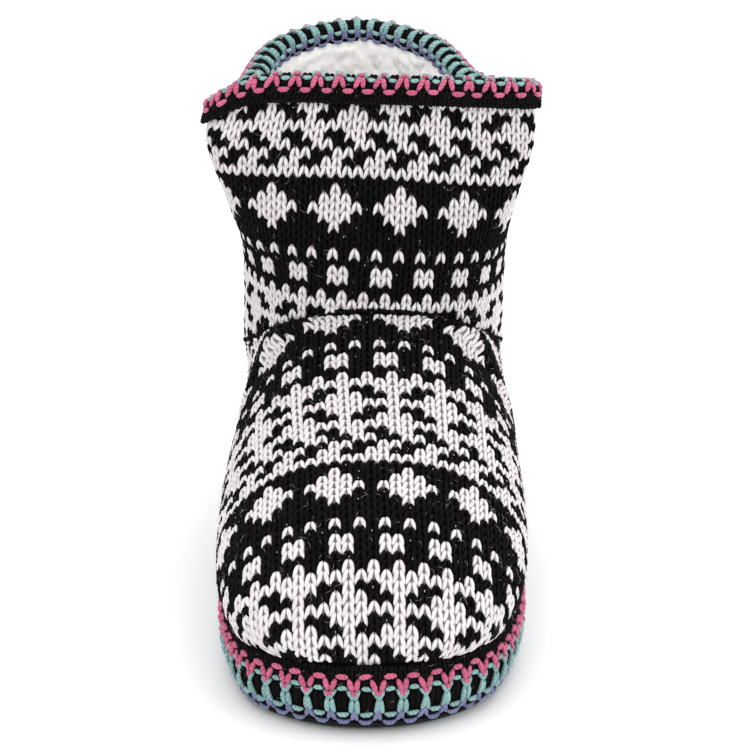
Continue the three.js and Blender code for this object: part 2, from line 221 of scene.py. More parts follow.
def shaftPoint(share, height):
    share, height = np.broadcast_arrays(np.asarray(share, float), np.asarray(height, float))
    knots = np.stack([path.at(share) for path in ringPaths])
    levels = knots[..., 2]
    k = sum((height > levels[i]).astype(int) for i in range(1, len(knots) - 1))

    def take(index):
        return np.take_along_axis(knots, index[None, ..., None], axis=0)[0]

    def slope(index):
        low, high = take(np.maximum(0, index - 1)), take(np.minimum(len(knots) - 1, index + 1))
        return (high - low) / (high[..., 2:] - low[..., 2:])

    low, high = take(k), take(k + 1)
    span = (high - low)[..., 2:]
    t = (height[..., None] - low[..., 2:]) / span
    point = (low * (2 * t ** 3 - 3 * t ** 2 + 1) + slope(k) * span * (t ** 3 - 2 * t ** 2 + t)
             + high * (3 * t ** 2 - 2 * t ** 3) + slope(k + 1) * span * (t ** 3 - t ** 2))
    lean = smooth(point[..., 1] / boot["leanDepth"]) * smooth((height - boot["leanLow"]) / boot["leanWay"])
    point[..., 0] -= boot["collarLean"] * lean
    point[..., 2] = height
    return point


def collarHeight(share):
    return ringPaths[-1].at(share)[..., 2]


def seamHeight(share):
    turn = 1 - np.abs(1 - 2 * np.mod(share, 1))
    fall = np.cos(np.minimum(1, turn / boot["seamFallEnd"]) * np.pi / 2)
    return boot["seamLow"] + boot["seamRise"] * np.maximum(0, fall) ** boot["seamFallPower"]


instep = Path([(0, y, z) for y, z in instepLine])


def edgeTravel(travel):
    fall = boot["leadFall"] * np.clip((travel - boot["leadFallStart"]) / boot["leadFallWay"], 0, 1)
    return travel + boot["rowLead"] * (1 - np.exp(-travel / boot["rowLeadWay"])) * (1 - fall)


def toeTravel(row):
    return np.clip(instep.length - fromTable(rowPlaces, row), 0, instep.length)


# Where a row of the foot piece meets the sole, as a share of the outline
def edgeShare(row, side):
    turn = np.clip(-row / boot["heelRows"], 0, 1)
    sideLength = outline.length * (heelShare if side > 0 else 1 - heelShare)
    vampEdge = edgeTravel(instep.length)
    travel = np.where(row >= 0, edgeTravel(toeTravel(row)), vampEdge + (sideLength - vampEdge) * turn)
    return side * travel / outline.length


# Foot piece: row counts up from the ankle seam to the toe, and below 0 back to the heel;
# side is +1 on the outer side; rise goes from the sole's edge (0) to the top (1)
def footPoint(row, side, rise):
    row, rise = np.broadcast_arrays(np.asarray(row, float), np.asarray(rise, float))
    onVamp = row >= 0
    travelTop = toeTravel(row)
    turn = np.clip(-row / boot["heelRows"], 0, 1)
    vampTop = instep.at(travelTop / instep.length)
    bend = smooth((boot["toeBendStart"] - vampTop[..., 1]) / (boot["toeBendStart"] + boot["length"] / 2))
    vampTop[..., 0] = soleOutline[0][0] * bend
    seamTurn = turn ** boot["seamCrowd"]
    ringShare = seamTurn / 2 if side > 0 else 1 - seamTurn / 2
    rearTop = shaftPoint(ringShare, seamHeight(ringShare))
    top = np.where(onVamp[..., None], vampTop, rearTop)
    share = edgeShare(row, side)
    fall = 1 - (travelTop / instep.length) ** (1 / boot["fullPower"])
    toeward = np.where(onVamp, smooth(boot["fullStart"] * fall), 0)
    swellRows, amounts, peaks = zip(*swells)
    amount, peak = (np.interp(row, swellRows, values) for values in (amounts, peaks))
    edge = outlinePoint(share, boot["footInset"], boot["feather"])
    power = 2 / lerp(fullness["waist"], fullness["toe"], toeward)
    straight = smooth(turn / boot["straighten"])
    angle = np.pi / 2 * np.clip(rise, 0, 1)
    roundOut = np.maximum(np.cos(angle), 0) ** power
    roundUp = np.sin(angle) ** power
    out = lerp(roundOut, 1 - rise, straight)
    up = lerp(roundUp, rise, straight)
    back = lerp(roundOut ** 2, 1 - rise, straight)
    point = np.stack([
        lerp(top[..., 0], edge[..., 0], out),
        lerp(top[..., 1], edge[..., 1], back),
        lerp(edge[..., 2], top[..., 2], up),
    ], axis=-1)
    level = (point[..., 2] - edge[..., 2]) / peak
    swell = amount * level * np.exp(1 - level) * np.minimum(1, boot["swellFade"] * (1 - rise))
    return point + outlineNormal(share) * swell[..., None]


# A surface as a grid over rows and columns of stitches, read between its points
class Cloth:
    def __init__(self, rows, columns, points):
        self.rows, self.columns, self.points = rows, columns, points
        self.normals = -unit(np.cross(np.gradient(points, axis=1), np.gradient(points, axis=0)))

    def read(self, row, column):
        r = np.clip((row - self.rows[0]) / (self.rows[1] - self.rows[0]), 0, len(self.rows) - 1.001)
        c = np.clip((column - self.columns[0]) / (self.columns[1] - self.columns[0]),
                    0, len(self.columns) - 1.001)
        r0, c0 = r.astype(int), c.astype(int)
        fr, fc = (r - r0)[..., None], (c - c0)[..., None]

        def mix(grid):
            low = lerp(grid[r0, c0], grid[r0, c0 + 1], fc)
            high = lerp(grid[r0 + 1, c0], grid[r0 + 1, c0 + 1], fc)
            return lerp(low, high, fr)

        return mix(self.points), unit(mix(self.normals))


# Mesh code

def addObject(name, data):
    thing = bpy.data.objects.new(name, data)
    bpy.context.scene.collection.objects.link(thing)
    return thing


# Gathers vertices and faces of many small pieces for one mesh
class Pile:
    def __init__(self):
        self.vertices, self.faces, self.places, self.marks = [], [], [], []
        self.count = 0

    def add(self, vertices, faces, places=None, marks=None):
        vertices = vertices.reshape(-1, 3)
        self.vertices.append(vertices)
        self.places.append(np.zeros_like(vertices) if places is None else places.reshape(-1, 3))
        for corners, mark in zip(faces, marks or [0] * len(faces)):
            self.faces.append(corners + self.count)
            self.marks.append(np.full(len(corners), mark))
        self.count += len(vertices)

    def build(self, name, slotName, *surfaces, replaced=()):
        print(name, "triangles", sum(len(f) * (f.shape[1] - 2) for f in self.faces))
        vertices = np.vstack(self.vertices)
        vertices[:, 0] += boot["sideShift"]
        sizes = np.concatenate([np.full(len(f), f.shape[1]) for f in self.faces])
        corners = np.concatenate([f.reshape(-1) for f in self.faces])
        starts = np.concatenate([[0], np.cumsum(sizes)[:-1]])
        mesh = bpy.data.meshes.new(name)
        mesh.vertices.add(len(vertices))
        mesh.loops.add(len(corners))
        mesh.polygons.add(len(sizes))
        mesh.vertices.foreach_set("co", (vertices * mm).astype(np.float32).reshape(-1))
        mesh.loops.foreach_set("vertex_index", corners.astype(np.int32))
        mesh.polygons.foreach_set("loop_start", starts.astype(np.int32))
        mesh.polygons.foreach_set("material_index", np.concatenate(self.marks).astype(np.int32))
        mesh.update(calc_edges=True)
        mesh.shade_smooth()
        place = mesh.attributes.new("yarnPlace", "FLOAT_VECTOR", "POINT")
        place.data.foreach_set("vector", np.vstack(self.places).astype(np.float32).reshape(-1))
        for surface in surfaces:
            mesh.materials.append(materials[surface])
        piece = addObject(name, mesh)
        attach(piece, "root")
        if replaced:
            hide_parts(*replaced)


# Lens-shaped strands of yarn: paths has a row of stations for each strand, from tip to tip
def addStrands(pile, paths, normals, halfWidth, halfHeight, sides, random):
    count, stations = paths.shape[:2]
    along = unit(np.gradient(paths, axis=1))
    across = unit(np.cross(along, normals))
    up = np.cross(across, along)
    turn = 2 * np.pi * (np.arange(sides) + 0.5) / sides
    wide = np.broadcast_to(halfWidth, (count, stations))[:, 1:-1, None, None]
    high = np.broadcast_to(halfHeight, (count, stations))[:, 1:-1, None, None]
    rings = (paths[:, 1:-1, None] + across[:, 1:-1, None] * np.cos(turn)[:, None] * wide
             + up[:, 1:-1, None] * np.sin(turn)[:, None] * high)
    inner = (stations - 2) * sides
    vertices = np.concatenate([paths[:, :1], rings.reshape(count, inner, 3), paths[:, -1:]], axis=1)
    places = np.zeros((count, inner + 2, 3))  # way along the strand, share of its turn, number of its own
    places[..., 0] = np.repeat(wayAlong(paths, 1), [1] + [sides] * (stations - 2) + [1], axis=1)
    places[:, 1:-1, 1] = np.tile(turn / (2 * np.pi), stations - 2)
    places[..., 2] = random.random((count, 1))
    ring = np.arange(sides)
    first = 1 + sides * np.arange(stations - 2)[:, None]
    near, far = first + ring, first + (ring + 1) % sides
    tips = np.vstack([np.stack([0 * ring, far[0], near[0]], axis=1),
                      np.stack([0 * ring + inner + 1, near[-1], far[-1]], axis=1)])
    quads = np.stack([near[:-1], far[:-1], far[1:], near[1:]], axis=-1).reshape(-1, 4)
    offsets = (np.arange(count) * (inner + 2))[:, None, None]
    pile.add(vertices, [(faces + offsets).reshape(-1, faces.shape[1]) for faces in (tips, quads)], places)


# Closed slab between two depths under a grid of points; its inner side and rims may have a second material
def addSlab(pile, grid, normals, depths, wrap=False, flip=False, innerMark=0):
    outer, inner = (grid - normals * np.asarray(depth)[..., None] for depth in depths)
    if flip:
        outer, inner = outer[:, ::-1], inner[:, ::-1]
    addSides(pile, outer, inner, wrap, innerMark)


def addSides(pile, outer, inner, wrap=False, innerMark=0):
    rows, columns = outer.shape[:2]
    number = np.arange(rows * columns).reshape(rows, columns)
    if wrap:
        number = np.concatenate([number, number[:, :1]], axis=1)
    quads = np.stack([number[:-1, :-1], number[:-1, 1:], number[1:, 1:], number[1:, :-1]], axis=-1)
    faces = [quads.reshape(-1, 4), (quads[..., ::-1] + rows * columns).reshape(-1, 4)]
    rims = [(number[0], False), (number[-1], True)]
    if not wrap:
        rims += [(number[:, 0], True), (number[:, -1], False)]
    for line, turned in rims:
        near, far = line[:-1], line[1:]
        strip = np.stack([far, near, near + rows * columns, far + rows * columns], axis=1)
        faces.append(strip[:, ::-1] if turned else strip)
    vertices = np.concatenate([outer.reshape(-1, 3), inner.reshape(-1, 3)])
    pile.add(vertices, faces, marks=[0] + [innerMark] * (len(faces) - 1))


# Materials

def group(name, inputs, outputs):
    tree = bpy.data.node_groups.new(name, "ShaderNodeTree")
    for title, kind, value in inputs:
        socket = tree.interface.new_socket(title, in_out="INPUT", socket_type="NodeSocket" + kind)
        socket.default_value = value
    for title, kind in outputs:
        tree.interface.new_socket(title, in_out="OUTPUT", socket_type="NodeSocket" + kind)
    return tree, tree.nodes.new("NodeGroupInput"), tree.nodes.new("NodeGroupOutput")


def addNode(tree, kind, values=None, **settings):
    node = tree.nodes.new(kind)
    for key, value in settings.items():
        setattr(node, key, value)
    for key, value in (values or {}).items():
        if isinstance(value, bpy.types.NodeSocket):
            tree.links.new(value, node.inputs[key])
        else:
            node.inputs[key].default_value = value
    return node


def maths(tree, operation, *values, clamp=False):
    node = addNode(tree, "ShaderNodeMath", dict(enumerate(values)), operation=operation, use_clamp=clamp)
    return node.outputs[0]


def ranged(tree, *values):
    names = ("Value", "From Min", "From Max", "To Min", "To Max")
    return addNode(tree, "ShaderNodeMapRange", dict(zip(names, values))).outputs[0]


def noise(tree, scale, detail):
    place = addNode(tree, "ShaderNodeTexCoord").outputs["Object"]
    node = addNode(tree, "ShaderNodeTexNoise", {"Vector": place, "Scale": scale, "Detail": detail})
    return node.outputs["Fac"]


def mixColors(tree, factor, a, b):
    return addNode(tree, "ShaderNodeMix", {0: factor, 6: a, 7: b}, data_type="RGBA").outputs[2]


def finishShader(tree, shader, color, height, distance):
    bump = addNode(tree, "ShaderNodeBump", {"Height": height, "Strength": 1.0, "Distance": distance})
    tree.links.new(color, shader.inputs["Base Color"])
    tree.links.new(bump.outputs["Normal"], shader.inputs["Normal"])


# grooveShade: how far the painted shade in the twist's grooves goes towards the shadow colour
yarnGrain = {"fibres": 2600, "patches": 90, "detail": 2, "tones": (0.5, 1.5), "grooveShade": 0.8, "grooveEnd": 0.5}


# Yarn: twist and loose fibres over the strand's own length, tone changing from strand to strand; the shadow
# colour serves both as the darker tone of some strands and as painted shade in the grooves of the twist
def makeYarnGroup():
    tree, start, end = group("yarnGrainAndShade", [
        ("Color", "Color", (0.8, 0.8, 0.8, 1)),
        ("Shadow Color", "Color", (0.5, 0.5, 0.5, 1)),
        ("Twist", "Float", 1.2),
        ("Twist Depth", "Float", 0.5),
        ("Fibre", "Float", 0.5),
        ("Tone Change", "Float", 0.1),
    ], [("Color", "Color"), ("Height", "Float")])
    given = start.outputs
    place = addNode(tree, "ShaderNodeAttribute", attribute_name="yarnPlace")
    travel, around, chance = addNode(tree, "ShaderNodeSeparateXYZ", {0: place.outputs["Vector"]}).outputs
    turns = maths(tree, "MULTIPLY", travel, given["Twist"])
    phase = maths(tree, "ADD", turns, maths(tree, "MULTIPLY", around, 2.0))
    ply = maths(tree, "ABSOLUTE", maths(tree, "SINE", maths(tree, "MULTIPLY", phase, math.pi)))
    plyHeight = maths(tree, "MULTIPLY", ply, given["Twist Depth"])
    fibre = maths(tree, "MULTIPLY", noise(tree, yarnGrain["fibres"], yarnGrain["detail"]), given["Fibre"])
    tree.links.new(maths(tree, "ADD", plyHeight, fibre), end.inputs["Height"])
    mixed = maths(tree, "ADD", chance, noise(tree, yarnGrain["patches"], yarnGrain["detail"]))
    tone = maths(tree, "MULTIPLY", ranged(tree, mixed, *yarnGrain["tones"], 0.0, 1.0), given["Tone Change"])
    # Painted shade: the grooves between the twisted plies are mixed towards the shadow colour
    grooveShade = ranged(tree, ply, 0.0, yarnGrain["grooveEnd"], yarnGrain["grooveShade"], 0.0)
    both = maths(tree, "ADD", tone, maths(tree, "MULTIPLY", grooveShade, given["Twist Depth"]), clamp=True)
    tree.links.new(mixColors(tree, both, given["Color"], given["Shadow Color"]), end.inputs["Color"])
    return tree


yarnGroup = makeYarnGroup()

# What a yarn doesn't name, it has from the basis; the names with capitals are the group's inputs
yarnBasis = {
    "Twist": 0.8, "Twist Depth": 0.8, "Fibre": 0.6, "Tone Change": 0.35,
    "bump": 0.00025, "rough": 0.8, "sheen": 0.25, "sheenRough": 0.5, "specular": 0.2,
}
yarns = {
    "whiteYarn": {"Color": (0.76, 0.72, 0.725, 1), "Shadow Color": (0.52, 0.475, 0.48, 1), "Twist": 0.55,
                  "Twist Depth": 0.35, "Fibre": 0.7, "Tone Change": 0.3, "bump": 0.00022, "rough": 0.9},
    "blackYarn": {"Color": (0.0042, 0.0036, 0.0038, 1), "Shadow Color": (0.010, 0.0088, 0.009, 1),
                  "Twist": 0.55, "Twist Depth": 0.35, "Fibre": 1.0, "Tone Change": 0.6, "bump": 0.00035,
                  "rough": 0.95, "sheen": 0.0, "sheenRough": 0.4, "specular": 0.05},
    "pinkYarn": {"Color": (0.62, 0.12, 0.235, 1), "Shadow Color": (0.30, 0.035, 0.09, 1)},
    "tealYarn": {"Color": (0.26, 0.46, 0.45, 1), "Shadow Color": (0.09, 0.21, 0.22, 1)},
    "lilacYarn": {"Color": (0.21, 0.23, 0.41, 1), "Shadow Color": (0.075, 0.08, 0.2, 1)},
}


def principled(name, rough, sheen=0.0, sheenRough=0.5, specular=0.3):
    material = bpy.data.materials.new(name)
    material.use_nodes = True
    shader = material.node_tree.nodes["Principled BSDF"]
    names = ("Roughness", "Sheen Weight", "Sheen Roughness", "Specular IOR Level")
    for title, value in zip(names, (rough, sheen, sheenRough, specular)):
        shader.inputs[title].default_value = value
    return material, material.node_tree, shader


def makeYarn(name):
    look = {**yarnBasis, **yarns[name]}
    surface = (look[key] for key in ("rough", "sheen", "sheenRough", "specular"))
    material, tree, shader = principled(name, *surface)
    grainAndShade = addNode(tree, "ShaderNodeGroup", node_tree=yarnGroup)
    for socket in grainAndShade.inputs:
        socket.default_value = look[socket.name]
    finishShader(tree, shader, grainAndShade.outputs["Color"], grainAndShade.outputs["Height"], look["bump"])
    return material


clothDetail = 4.0


# Cloth: fine grain, raised where it has its own color and low where it has the shadow's; the shadow colour in
# the low spots is painted shade
def makeClothGroup():
    tree, start, end = group("clothGrainAndShade", [
        ("Color", "Color", (0.8, 0.8, 0.8, 1)),
        ("Shadow Color", "Color", (0.5, 0.5, 0.5, 1)),
        ("Grain Scale", "Float", 900.0),
    ], [("Color", "Color"), ("Height", "Float")])
    given = start.outputs
    grain = noise(tree, given["Grain Scale"], clothDetail)
    tree.links.new(mixColors(tree, grain, given["Shadow Color"], given["Color"]), end.inputs["Color"])
    tree.links.new(grain, end.inputs["Height"])
    return tree


clothGroup = makeClothGroup()


def makeCloth(name, color, shadow, scale, bump, rough=0.95, sheen=0.1, specular=0.2):
    material, tree, shader = principled(name, rough, sheen, 0.5, specular)
    values = {"Color": (*color, 1), "Shadow Color": (*shadow, 1), "Grain Scale": scale}
    grainAndShade = addNode(tree, "ShaderNodeGroup", values, node_tree=clothGroup)
    finishShader(tree, shader, grainAndShade.outputs["Color"], grainAndShade.outputs["Height"], bump)
    return material


soleLook = {"grain": 700, "grainShare": 0.2, "dots": 230, "dotEdge": (0.22, 0.34), "under": (-0.8, -0.6),
            "bump": 0.0006, "cloth": (0.012, 0.012, 0.0125, 1), "dot": (0.045, 0.043, 0.046, 1)}


# Outsole cloth with rows of small round grip dots on the flat underside
def makeSoleMaterial():
    material, tree, shader = principled("sole", 0.9, 0.05, 0.5, 0.2)
    body = addNode(tree, "ShaderNodeTexCoord").outputs
    flat = addNode(tree, "ShaderNodeVectorMath", {0: body["Object"], 1: (1, 1, 0)}, operation="MULTIPLY")
    cells = addNode(tree, "ShaderNodeTexVoronoi",
                    {"Vector": flat.outputs[0], "Scale": soleLook["dots"], "Randomness": 0.0})
    dots = ranged(tree, cells.outputs["Distance"], *soleLook["dotEdge"], 1.0, 0.0)
    facing = addNode(tree, "ShaderNodeSeparateXYZ", {0: body["Normal"]}).outputs[2]
    shown = maths(tree, "MULTIPLY", dots, ranged(tree, facing, *soleLook["under"], 1.0, 0.0))
    grain = addNode(tree, "ShaderNodeGroup", {"Grain Scale": soleLook["grain"]}, node_tree=clothGroup)
    height = maths(tree, "MULTIPLY_ADD", grain.outputs["Height"], soleLook["grainShare"], shown)
    color = mixColors(tree, shown, soleLook["cloth"], soleLook["dot"])
    finishShader(tree, shader, color, height, soleLook["bump"])
    return material


materials = {name: makeYarn(name) for name in yarns}
for clothLook in (
    # The backing behind the off-white stitches is a dark grey copy of the white yarn: painted shade for the
    # holes between their legs
    ("paintedShadeBacking", (0.24, 0.22, 0.22), (0.16, 0.145, 0.145), 900, 0.0003),
    ("blackGround", (0.006, 0.0055, 0.006), (0.004, 0.004, 0.004), 900, 0.0003, 0.95, 0.0, 0.05),
    ("fleece", (0.985, 0.97, 0.96), (0.93, 0.91, 0.895), 420, 0.0005, 1.0, 0.5),
    ("hair", (0.5, 0.47, 0.47), (0.3, 0.28, 0.28), 900, 0.0001, 0.8),
):
    materials[clothLook[0]] = makeCloth(*clothLook)
materials["sole"] = makeSoleMaterial()
print("materials ready")


# Chart of the knitted pattern, row by row from the ankle towards the toe; c counts columns to +X
def every(step, *places):
    return lambda c: np.isin(np.mod(c, step), places)


allWhite = every(1, 0)
allBlack = every(1)
chart = (
    [every(2, 0), allWhite, every(8, 0, 1, 4, 7), every(8, 0, 3, 4, 5), allWhite, every(8, 0, 3, 4, 5),
     every(8, 0, 1, 4, 7), allWhite, every(4, 0, 1), every(4, 1, 2), every(4, 0, 3), every(4, 2, 3), allWhite]
    + [allBlack, every(6, 3), every(6, 2, 3, 4), every(6, 1, 2, 3, 4, 5), every(6, 2, 3, 4), every(6, 3)]
    + [allBlack, allBlack, every(2, 1), allBlack, every(4, 0, 3), every(4, 0, 3), allBlack]
)


def isWhite(row, column):
    row, column = np.broadcast_arrays(row, column)
    white = np.zeros(row.shape, bool)
    for index, rule in enumerate(chart):
        here = np.mod(row, len(chart)) == index
        white[here] = rule(column[here])
    return white


knit = {
    "centerColumn": 6,
    "footRowShift": 16,  # chart row at the ankle seam
    "reach": 35,  # columns to each side of the middle of the foot
    "widths": [(8, 3.93), (24, 3.66)],  # row of the foot, width of a column
    "middle": [(10, -2.5), (27, -0.15), (31, 0.9), (36, 1.8), (46, 2.6)],  # row, place of the middle column
    "slide": 3.5,  # rows that the knit runs back along the sole at the toe
    "slideStart": 33,
    "slideWay": 9,
    "shaftColumns": [(0, 103), (15, 90)],  # row of the shaft, columns round it
    "shaftCenterColumn": 18.4,
    "heights": [(-6, 175.8), (10.5, 125.6), (15.5, 109.7), (34, 57)],  # row of the shaft, height at the front
    "rowTilt": 0.052,
    "rowDroop": 0.0016,
    "waleLean": 0.071,
    "leanHeight": 128,
    "shaftRows": (-6, 33),
    "shaftChartShift": 6,
    "rowHeight": 3.1,
    "legWidth": 0.205,
    "legHeight": 0.55,
    "legTop": 0.055,
    "legSpread": 0.4,
    "legStart": -0.42,
    "legEnd": 1.22,
    "legAlong": np.array([0, 0.2, 0.5, 0.8, 1.0]),
    "legThick": np.array([0, 0.8, 1.0, 0.74, 0]),
    "sink": 0.35,
    "lift": 0.5,
    "uneven": 0.035,
    "unevenLift": 0.05,
    "groundDepth": 0.75,
    "seamGap": 0.7,
    "seamFront": 1.3,  # the shaft ends a little higher at the front
    "seamStitch": 0.1,  # the shortest row at the seam
    "collarGap": 5.0,
    "gridStep": 0.25,
    "riseSteps": 90,
    "skirt": (2, 15, 6),  # first and last way under the sole's edge, steps
    "beyond": 8,  # way that the foot's grid goes on above the ankle seam
    "edgeOver": 2.5,  # stitches go on under the tape
}
backing = {"along": np.array([-0.2, 0.0, 0.75, 0.9]), "thick": np.array([0, 1, 1, 0]), "depth": 0.35,
           "wide": 0.62, "high": 0.25}
flecks = {"share": 0.12, "along": np.array([0.3, 0.4, 0.5, 0.6]), "slip": 0.12, "lift": 0.2,
          "wide": 0.2, "high": 0.16}


def footWidth(row):
    return fromTable(knit["widths"], row)


def footMiddle(row):
    return fromTable(knit["middle"], row)


def slideBack(row):
    return knit["slide"] * smooth((row - knit["slideStart"]) / knit["slideWay"])


# Foot piece: rows run across the foot, and the columns are counted from its middle line
def makeFootCloth():
    rows = np.arange(-boot["heelRows"], rowPlaces[-1][0] + 0.01, knit["gridStep"])
    columns = np.arange(-knit["reach"], knit["reach"] + 0.01, knit["gridStep"])
    rise = np.linspace(1, 0, knit["riseSteps"])
    reach = np.linspace(*knit["skirt"])
    width = footWidth(rows)
    back = slideBack(rows)
    points = np.zeros((len(rows), len(columns), 3))
    low, high = np.zeros((2, len(rows), 2))
    for s, side in enumerate((1, -1)):
        grid = footPoint(rows[:, None] - back[:, None] * (1 - rise) ** 2, side, rise[None, :])
        share = edgeShare(rows - back, side)
        along = outline.along(share)
        last = grid[:, -1] - grid[:, -3]
        onward = last[:, 0] * along[:, 0] + last[:, 1] * along[:, 1]
        size = np.hypot(onward, last[:, 2])
        onward, fall = onward / size, last[:, 2] / size
        skirt = outlinePoint(share[:, None] + onward[:, None] * reach / outline.length, boot["footInset"],
                             boot["feather"] + fall[:, None] * reach)
        grid = np.concatenate([grid, skirt], axis=1)
        travel = np.insert(wayAlong(grid, 1), 0, -knit["beyond"], axis=1)
        beyond = grid[:, :1] - unit(grid[:, 2:3] - grid[:, :1]) * knit["beyond"]
        grid = np.concatenate([beyond, grid], axis=1)
        edge = travel[:, len(rise)]
        begin = np.where(rows < 0, np.interp(0, rows, edge) - edge, 0)
        low[:, s], high[:, s] = begin, begin + edge
        half = columns >= 0 if side > 0 else columns < 0
        for i in range(len(rows)):
            points[i, half] = readLine(np.abs(columns[half]) * width[i] - begin[i], travel[i], grid[i])
    return Cloth(rows, columns, points), rows, low, high


footCloth, footRows, footLow, footHigh = makeFootCloth()
print("foot cloth", footCloth.points.shape)


# Shaft: a tube of level rows, from the ankle seam to the collar
shaftLength = ringPaths[2].length


def rowHeight(row):
    return fromTable(knit["heights"], row)


def shaftTurn(row, column):
    return (column - knit["shaftCenterColumn"]) / fromTable(knit["shaftColumns"], row)


def shaftShare(row, column):
    return shaftTurn(row, column) + knit["waleLean"] * (rowHeight(row) - knit["leanHeight"]) / shaftLength


def shaftHeight(row, column):
    x = ringPaths[2].at(shaftShare(row, column))[..., 0]
    return rowHeight(row) - knit["rowTilt"] * x - knit["rowDroop"] * x ** 2


def shaftSpan():
    half = knit["shaftColumns"][0][1] / 2
    return int(knit["shaftCenterColumn"] - half), int(knit["shaftCenterColumn"] + half) + 1


def makeShaftCloth():
    first, last = shaftSpan()
    low, high = knit["shaftRows"]
    rows = np.arange(low, high + 0.01, knit["gridStep"])
    columns = np.arange(first - 1, last + 1.01, knit["gridStep"])
    r, c = np.meshgrid(rows, columns, indexing="ij")
    return Cloth(rows, columns, shaftPoint(shaftShare(r, c), shaftHeight(r, c)))


shaftCloth = makeShaftCloth()
print("shaft cloth", shaftCloth.points.shape)


def seamLine(share):
    front = np.maximum(0, np.cos(2 * np.pi * share)) ** 6
    return seamHeight(share) + knit["seamGap"] + knit["seamFront"] * front


# Stitches that meet the ankle seam get shorter, on the shaft and on the foot
def aboveSeam(row, column):
    short = seamLine(shaftShare(row, column)) - shaftHeight(row, column)
    return row - np.maximum(short, 0) / knit["rowHeight"], column


def belowSeam(row, place):
    distance = np.abs(place) * footWidth(row)
    behind = footRows <= 0
    ways = np.maximum.accumulate(footLow[behind][::-1])
    outer, inner = (np.interp(distance, way, footRows[behind][::-1]) for way in ways.T)
    return np.maximum(row, np.where(place >= 0, outer, inner) + knit["seamStitch"]), place


# Two legs of a stitch, each a lens of yarn; they meet at the top, inside the stitch above
def stitchLegs(cloth, row, column, width, random, bound):
    t = knit["legAlong"]
    rise = np.maximum(np.sin(np.pi * t ** 0.8), 0) ** 0.8
    paths, normals = [], []
    for side in (-1, 1):
        lean, slip = random.normal(0, knit["uneven"], (2, len(row), 1))
        offset = side * (knit["legTop"] + knit["legSpread"] * t ** 0.9)
        c = column[:, None] + offset + lean * (t - 0.5)
        r = row[:, None] + slip + (knit["legStart"] + (knit["legEnd"] - knit["legStart"]) * t)
        point, normal = cloth.read(*bound(r, c))
        lift = knit["lift"] * rise - knit["sink"] + random.normal(0, knit["unevenLift"], (len(row), 1))
        paths.append(point + normal * lift[..., None])
        normals.append(normal)
    wide = np.tile(width * knit["legWidth"], 2)[:, None] * knit["legThick"]
    return np.concatenate(paths), np.concatenate(normals), wide, knit["legHeight"] * knit["legThick"]


# Yarn at the back of the off-white stitches, seen in the holes between their legs; its dark grey is painted
# shade for those holes, added to the shade that its depth gives
def addBacking(pile, cloth, row, column, width, random, bound):
    t = backing["along"]
    point, normal = cloth.read(*bound(row[:, None] + t, column[:, None] + 0 * t))
    wide = width[:, None] * backing["wide"] * backing["thick"]
    addStrands(pile, point - normal * backing["depth"], normal, wide, backing["high"], 4, random)


# Points of off-white yarn that show through between black stitches
def addFlecks(pile, cloth, row, column, random):
    some = random.random(len(row)) < flecks["share"]
    row, column = row[some], column[some] + random.normal(0, flecks["slip"], some.sum())
    t = flecks["along"]
    point, normal = cloth.read(row[:, None] + t, column[:, None] + 0 * t)
    addStrands(pile, point + normal * flecks["lift"], normal, flecks["wide"], flecks["high"], 4, random)


def stitchPlaces(rows, columns):
    return (a.ravel().astype(float) for a in np.meshgrid(rows, columns, indexing="ij"))


def footStitches():
    r, c = stitchPlaces(np.arange(-boot["heelRows"], 46), np.arange(-knit["reach"], knit["reach"] + 1))
    width = footWidth(r)
    place = c + footMiddle(r) / width
    distance = np.abs(place) * width
    low, high = (np.where(place >= 0, *(np.interp(r + 0.5, footRows, line) for line in table.T))
                 for table in (footLow, footHigh))
    keep = (distance < high + knit["edgeOver"]) & ((r >= 0) | (distance > low + 0.5))
    keep &= np.abs(place) < knit["reach"]
    white = isWhite((r + knit["footRowShift"]).astype(int), (c + knit["centerColumn"]).astype(int))
    return r[keep], place[keep], width[keep], white[keep], (distance < high - knit["edgeOver"])[keep]


def shaftStitches():
    r, c = stitchPlaces(np.arange(*knit["shaftRows"]), np.arange(*shaftSpan()))
    share = shaftShare(r + 0.5, c)
    height = shaftHeight(r + 0.5, c)
    keep = (height > seamLine(share) - 0.4) & (height < collarHeight(share) - knit["collarGap"])
    keep &= np.abs(shaftTurn(r, c)) <= 0.5
    width = shaftLength / fromTable(knit["shaftColumns"], r)
    white = isWhite(r.astype(int) + knit["shaftChartShift"], c.astype(int))
    return r[keep], c[keep], width[keep], white[keep], np.ones(keep.sum(), bool)


def makeKnit():
    back, points = Pile(), Pile()
    for place, cloth, stitches, bound in (
        ("foot", footCloth, footStitches(), belowSeam), ("shaft", shaftCloth, shaftStitches(), aboveSeam),
    ):
        random = np.random.default_rng(seed)
        r, c, width, white, clear = stitches
        for yarn, some in (("white", white), ("black", ~white)):
            pile = Pile()
            paths, normals, wide, high = stitchLegs(cloth, r[some], c[some], width[some], random, bound)
            addStrands(pile, paths, normals, wide, high, 5, random)
            pile.build(f"{place}_knit_{yarn}", "knit", yarn + "Yarn")
        some = white & clear
        addBacking(back, cloth, r[some], c[some], width[some], random, bound)
        addFlecks(points, cloth, r[~white], c[~white], random)
        print(place, "stitches", len(r))
    back.build("knit_backing", "knit", "paintedShadeBacking")
    points.build("knit_flecks", "knit", "hair")


# Outward normals of a grid; where the grid is pinched they follow the way out from the middle line
def gridNormals(grid, middle, wrap=False):
    across = np.roll(grid, -1, axis=1) - np.roll(grid, 1, axis=1) if wrap else np.gradient(grid, axis=1)
    normals = np.cross(across, np.gradient(grid, axis=0))
    out = unit(grid - middle)
    normals = unit(normals) * np.sign(np.sum(normals * out, axis=-1, keepdims=True) + 1e-12)
    return unit(normals + 0.15 * out)


